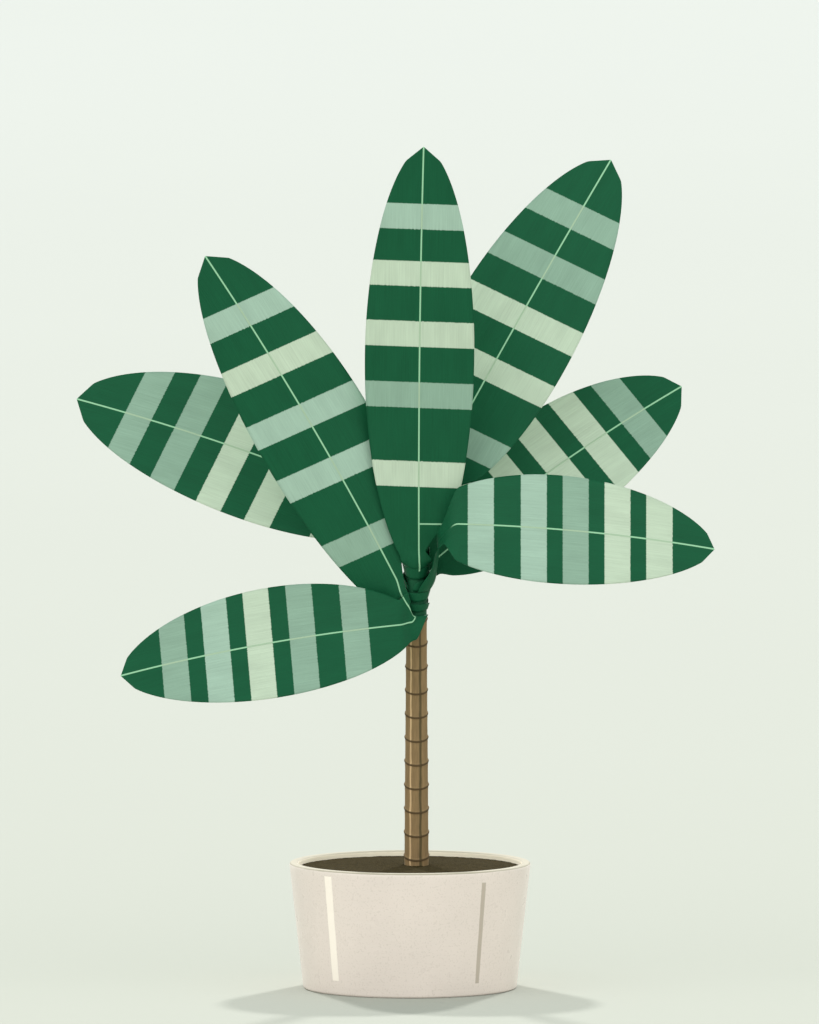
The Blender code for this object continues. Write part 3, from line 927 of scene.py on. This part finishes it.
def cane_shape():
    """The cane with its ring scars, low in front and high behind, and faint long furrows."""
    cane = settings("cane")
    dome = cane_radius(CANE_TOP)
    dome_foot = CANE_TOP - dome
    rows = int((dome_foot - CANE_FOOT) / CANE_STEP)
    last_scar = SCAR_FIRST + (SCAR_COUNT - 1) * SCAR_PITCH
    shape = bmesh.new()

    def ring(height, radius, lean, swell=0, furrows=0):
        made = []
        for number in range(CANE_SIDES):
            around = outward(2 * pi * number / CANE_SIDES)
            furrow = noise.noise(around * 3 + Vector((0, 0, height * FURROW_RISE)))
            spot = around * (radius + swell * (1 + SCAR_RAGGED * furrow) + furrows * furrow)
            up = height + lean * spot.y
            made.append(shape.verts.new(((CANE_AXIS + spot.x) * MM, spot.y * MM, up * MM)))
        return made

    rings = [[shape.verts.new((CANE_AXIS * MM, 0, CANE_FOOT * MM))]]
    for row in range(rows + 1):
        height = CANE_FOOT + (dome_foot - CANE_FOOT) * row / rows
        lean = SCAR_SLOPE * min(1, (height - CANE_FOOT) / SLOPE_EASE)
        number = round((height - SCAR_FIRST) / SCAR_PITCH)
        swell = 0
        if 0 <= number < SCAR_COUNT:
            swell = scar_swell(height - SCAR_FIRST - number * SCAR_PITCH) * cane.scar_height / MM
        furrows = FURROW if height < last_scar + SCAR_PITCH / 2 else 0
        rings.append(ring(height, cane_radius(height), lean, swell, furrows))
    for part in range(1, DOME_STEPS):
        turn = part * pi / 2 / DOME_STEPS
        lean = SCAR_SLOPE * (1 - part / DOME_STEPS)
        rings.append(ring(dome_foot + dome * sin(turn), dome * cos(turn), lean))
    rings.append([shape.verts.new((CANE_AXIS * MM, 0, CANE_TOP * MM))])
    join_rings(shape, rings)
    return shape


def seen(across, up, back):
    """The way, or the point from far off, that goes this far back and shows so to the eye that looks down."""
    tilt = settings("stage").tilt
    return Vector((across, back, (up - sin(tilt) * back) / cos(tilt)))


def place_seen(across, up, back):
    """The point, in millimetres, that lies this far back and shows there to the eye at the camera."""
    stage = settings("stage")
    depth = back / cos(stage.tilt) - (up - EYE_AIM[1]) * tan(stage.tilt)
    grown = 1 + depth * MM / stage.eye
    return seen(EYE_AIM[0] + (across - EYE_AIM[0]) * grown, EYE_AIM[1] + (up - EYE_AIM[1]) * grown, back)


def half_width(leaf, along, side):
    """The blade's half width at a share of its length, on one side of the midrib."""
    widest = leaf.swell / (leaf.swell + leaf.taper)
    pointed = min(1, (1 - along) / TIP_SHARE)
    along = min(along, 1 - TIP_SHARE)
    width = leaf.half_width * (along / widest) ** leaf.swell
    width *= ((1 - along) / (1 - widest)) ** leaf.taper * pointed
    grown = min(1, along / leaf.shoulders[0 if side < 0 else 1])
    return width * grown * grown * (3 - 2 * grown)


def blade_point(leaf, along, across):
    """A point of the blade and its marks: along runs from 0 at its base to 1, and across from -1 to 1."""
    base, tip = Vector(leaf.base), Vector(leaf.tip)
    run = tip - base
    chord_side = Vector((run.y, -run.x)).normalized()
    heading = run + chord_side * 4 * leaf.bow * (1 - 2 * along)
    side = Vector((heading.y, -heading.x)).normalized()
    out = across * leaf.face * half_width(leaf, along, across * leaf.face) if along < 1 else 0
    spot = base + run * along + chord_side * 4 * leaf.bow * along * (1 - along) + side * out
    back = leaf.back[0] + (leaf.back[1] - leaf.back[0]) * along + leaf.lean * out
    full = abs(out) / leaf.half_width
    wave = WAVE * sin(2 * pi * (WAVES * along + WAVE_SKEW * across)) * full**2
    back -= leaf.face * (CUP * full**1.5 * (1 - CUP_EASE * along) + wave)
    reach = (spot - base).dot(run.normalized())
    chord_share = reach / run.length
    off = (spot - base).dot(chord_side) - 4 * leaf.bow * chord_share * (1 - chord_share)
    return place_seen(spot.x, spot.y, back), Vector((reach - leaf.slant * off, out, along))


def sheath_point(leaf, share, across):
    """A point of the sheath: share runs from its foot to its top, and across from -1 to 1 round the cane."""
    foot, rise = leaf.sheath
    wrap = radians(leaf.wraps[0] + (leaf.wraps[1] - leaf.wraps[0]) * share**2)
    risen = 1 - (1 - share) ** 3
    facet = cos(radians(leaf.wraps[0]) / CLASP_COLUMNS)
    inside = (cane_radius(foot) + CANE_RADIUS_GAP) / facet + CLASP_EASE
    radius = inside + CLASP_THICK / 2 + CLASP_FLARE * risen
    spot = outward(radians(leaf.heading) - across * wrap) * radius
    height = foot + rise * risen + SCAR_SLOPE * spot.y
    return Vector((CANE_AXIS + spot.x, spot.y, height))


def sheath_slope(leaf, across):
    """The way that the sheath leans out at its top."""
    lean = outward(radians(leaf.heading - across * leaf.wraps[1])) * CLASP_LEAN
    return Vector((lean.x, lean.y, 1)).normalized()


def neck_point(neck, across):
    """A point of a section of the neck, a shallow channel whose edges curl up on the leaf's upper side."""
    along, side = Vector(neck.along).normalized(), Vector(neck.side).normalized()
    upper = along.cross(side).normalized()
    curl = radians(neck.curl)
    radius = neck.widths[0 if across < 0 else 1] / curl
    spot = Vector(neck.place) + (side * sin(across * curl) + upper * (1 - cos(across * curl))) * radius
    return place_seen(*spot)


def smooth_between(start, end, leave, arrive, span, share):
    """A cubic curve from start to end that leaves and arrives along slopes, for the length of a span."""
    square, cube = share * share, share**3
    return (
        start * (2 * cube - 3 * square + 1)
        + leave * span * (cube - 2 * square + share)
        + end * (3 * square - 2 * cube)
        + arrive * span * (cube - square)
    )


def columns(leaf, along):
    """Places across a leaf from -1 to 1, close together at the midrib, at a share of the blade's length."""
    width = max(half_width(leaf, along, 1), LEAST_WIDTH)
    rib = min(MOST_RIB_SHARE, RIB_REACH * settings("leaf").midrib / MM / width)
    half = [rib * number / RIB_COLUMNS for number in range(RIB_COLUMNS + 1)]
    rest = HALF_COLUMNS - RIB_COLUMNS
    half += [rib + (1 - rib) * number / rest for number in range(1, rest + 1)]
    return [-across for across in reversed(half[1:])] + half


def leaf_rows(leaf):
    """The leaf's rows of points with their marks, from the sheath's foot to the last row before the tip."""
    places = columns(leaf, leaf.start)
    middle = len(places) // 2
    rows = []
    for row in range(SHEATH_ROWS + 1):
        points = [sheath_point(leaf, row / SHEATH_ROWS, across) for across in places]
        rows.append(marked(points, leaf.face, NECK_REACH * (row / SHEATH_ROWS - 2)))
    start = [blade_point(leaf, leaf.start, across)[0] for across in places]
    beyond = [blade_point(leaf, leaf.start + BLADE_STEP, across)[0] for across in places]
    sections = [[point for point, mark in rows[-1]]]
    sections += [[neck_point(neck, across) for across in places] for neck in leaf.neck] + [start]
    slopes = [[sheath_slope(leaf, across) for across in places]]
    slopes += [[seen(*Vector(neck.along).normalized())] * len(places) for neck in leaf.neck]
    step = (beyond[middle] - start[middle]).length
    slopes += [[(after - before) / step for before, after in zip(start, beyond)]]
    for number, (near, far) in enumerate(zip(sections, sections[1:])):
        span = (far[middle] - near[middle]).length
        ends = list(zip(near, far, slopes[number], slopes[number + 1]))
        for row in range(1, NECK_ROWS + 1):
            share = row / NECK_ROWS
            points = [smooth_between(*end, span, share) for end in ends]
            rows.append(marked(points, leaf.face, NECK_REACH * ((number + share) / (len(leaf.neck) + 1) - 1)))
    for row in range(1, BLADE_ROWS):
        along = 1 - (1 - leaf.start) * (1 - row / BLADE_ROWS) ** TIP_CROWDING
        places = columns(leaf, along)
        rows.append([blade_point(leaf, along, across) for across in places])
    return rows


def marked(points, face, reach):
    """The points of a row with their marks, which tell how far each lies from the row's middle."""
    marks = [0.0]
    for near, far in zip(points, points[1:]):
        marks.append(marks[-1] + (far - near).length)
    middle = marks[len(points) // 2]
    return [(point, Vector((reach, (mark - middle) * face, 0))) for point, mark in zip(points, marks)]


def leaf_shape(leaf):
    """An open sheet of one leaf, with its marks, and the share of its full thickness at each point."""
    shape = bmesh.new()
    marks = shape.verts.layers.float_vector.new("leaf_place")
    thick = shape.verts.layers.deform.verify()
    rib = settings("leaf").midrib / MM

    def point(spot, mark, edge):
        vert = shape.verts.new(spot * MM)
        vert[marks] = mark
        ridge = RIDGE_SHARE * exp(-((mark.y / (RIDGE_WIDTH * rib)) ** 2))
        vert[thick][0] = BLADE_SHARE - MARGIN_THINS * edge**4 + ridge * (1 - RIDGE_THINS * mark.z)
        return vert

    grid = []
    for row in leaf_rows(leaf):
        widest = max(abs(row[0][1].y), abs(row[-1][1].y), LEAST_WIDTH)
        grid.append([point(spot, mark, min(1, abs(mark.y) / widest)) for spot, mark in row])
    for near, far in zip(grid, grid[1:]):
        for column in range(len(near) - 1):
            shape.faces.new((near[column], near[column + 1], far[column + 1], far[column]))
    tip = point(*blade_point(leaf, 1, 0), 1)
    for column in range(len(grid[-1]) - 1):
        shape.faces.new((grid[-1][column], grid[-1][column + 1], tip))
    return shape


class DRACAENA_OT_pot(Operator):
    """Make the glazed pot with its bare rim, and its highlight and shade painted on as strokes"""

    bl_idname = "dracaena.make_pot"
    bl_label = "Pot"

    def execute(self, context):
        add_piece("glazed_pot", pot_shape(), glaze_material(), "pot")
        return {"FINISHED"}


class DRACAENA_OT_soil(Operator):
    """Make the crumbly soil in the pot"""

    bl_idname = "dracaena.make_soil"
    bl_label = "Soil"

    def execute(self, context):
        add_piece("potting_soil", soil_shape(), soil_material(), "soil")
        return {"FINISHED"}


class DRACAENA_OT_cane(Operator):
    """Make the cane with its ring scars"""

    bl_idname = "dracaena.make_cane"
    bl_label = "Cane"

    def execute(self, context):
        add_piece("ringed_cane", cane_shape(), bark_material(), "cane")
        return {"FINISHED"}


class DRACAENA_OT_leaves(Operator):
    """Make the cross-banded leaves with their sheaths"""

    bl_idname = "dracaena.make_leaves"
    bl_label = "Leaves"

    def execute(self, context):
        for leaf in LEAVES:
            piece = add_piece("banded_" + leaf.name, leaf_shape(leaf), leaf_material(leaf), leaf.name)
            piece.vertex_groups.new(name="thickness")
            thicken = piece.modifiers.new("thickness", "SOLIDIFY")
            thicken.thickness = settings("leaf").blade / BLADE_SHARE
            thicken.offset = 0
            thicken.vertex_group = "thickness"
        return {"FINISHED"}


class DRACAENA_OT_stage(Operator):
    """Make the floor, the soft light and the camera"""

    bl_idname = "dracaena.make_stage"
    bl_label = "Stage"

    def execute(self, context):
        stage = settings("stage")
        half = stage.floor_size / 2
        shape = bmesh.new()
        corners = [shape.verts.new((x * half, y * half, 0)) for x, y in ((-1, -1), (1, -1), (1, 1), (-1, 1))]
        shape.faces.new(corners)
        floor = add_object("studio_floor", shape, floor_material())
        for light in LIGHTS:
            make_light(light)
        world = bpy.data.worlds.new("studio air")
        world.use_nodes = True
        air = world.node_tree.nodes["Background"].inputs
        air["Color"].default_value = AIR_COLOUR
        air["Strength"].default_value = AIR_STRENGTH
        context.scene.world = world
        context.scene.view_settings.view_transform = "Standard"
        make_camera(stage)
        return {"FINISHED"}


def make_light(light):
    """A soft far light, at a bearing round the plant and an angle above the floor."""
    data = bpy.data.lights.new(light.name, "SUN")
    data.energy = light.strength
    data.angle = radians(light.spread)
    lamp = bpy.data.objects.new(light.name, data)
    lift = radians(light.height)
    towards = outward(radians(light.bearing)) * cos(lift) + Vector((0, 0, sin(lift)))
    lamp.location = towards * LIGHT_AWAY * MM
    lamp.rotation_euler = (-towards).to_track_quat("-Z", "Y").to_euler()
    bpy.context.scene.collection.objects.link(lamp)


def make_camera(stage):
    """A long lens that looks slightly down on the plant from the front."""
    data = bpy.data.cameras.new("camera")
    data.lens = stage.lens
    data.clip_end = 200
    camera = bpy.data.objects.new("camera", data)
    target = seen(*EYE_AIM, 0) * MM
    back = Vector((0, -cos(stage.tilt), sin(stage.tilt)))
    camera.location = target + back * stage.eye
    camera.rotation_euler = (-back).to_track_quat("-Z", "Y").to_euler()
    bpy.context.scene.collection.objects.link(camera)
    bpy.context.scene.camera = camera


class DRACAENA_PT_plant(Panel):
    bl_idname = "DRACAENA_PT_plant"
    bl_label = "Potted Dracaena"
    bl_space_type = "VIEW_3D"
    bl_region_type = "UI"
    bl_category = "Dracaena"

    def draw(self, context):
        for part, group, operator in PARTS:
            box = self.layout.box()
            box.operator(operator.bl_idname)
            for name in group.__annotations__:
                box.prop(settings(part), name)


PARTS = (
    ("pot", DracaenaPotSettings, DRACAENA_OT_pot),
    ("soil", DracaenaSoilSettings, DRACAENA_OT_soil),
    ("cane", DracaenaCaneSettings, DRACAENA_OT_cane),
    ("leaf", DracaenaLeafSettings, DRACAENA_OT_leaves),
    ("stage", DracaenaStageSettings, DRACAENA_OT_stage),
)


def register():
    for part, group, operator in PARTS:
        bpy.utils.register_class(group)
        setattr(bpy.types.Scene, "dracaena_" + part, PointerProperty(type=group))
        bpy.utils.register_class(operator)
    bpy.utils.register_class(DRACAENA_PT_plant)


def unregister():
    bpy.utils.unregister_class(DRACAENA_PT_plant)
    for part, group, operator in reversed(PARTS):
        bpy.utils.unregister_class(operator)
        delattr(bpy.types.Scene, "dracaena_" + part)
        bpy.utils.unregister_class(group)


def main():
    register()
    bpy.ops.dracaena.make_stage()
    bpy.ops.dracaena.make_pot()
    bpy.ops.dracaena.make_soil()
    bpy.ops.dracaena.make_cane()
    bpy.ops.dracaena.make_leaves()


if __name__ == "__main__":
    main()
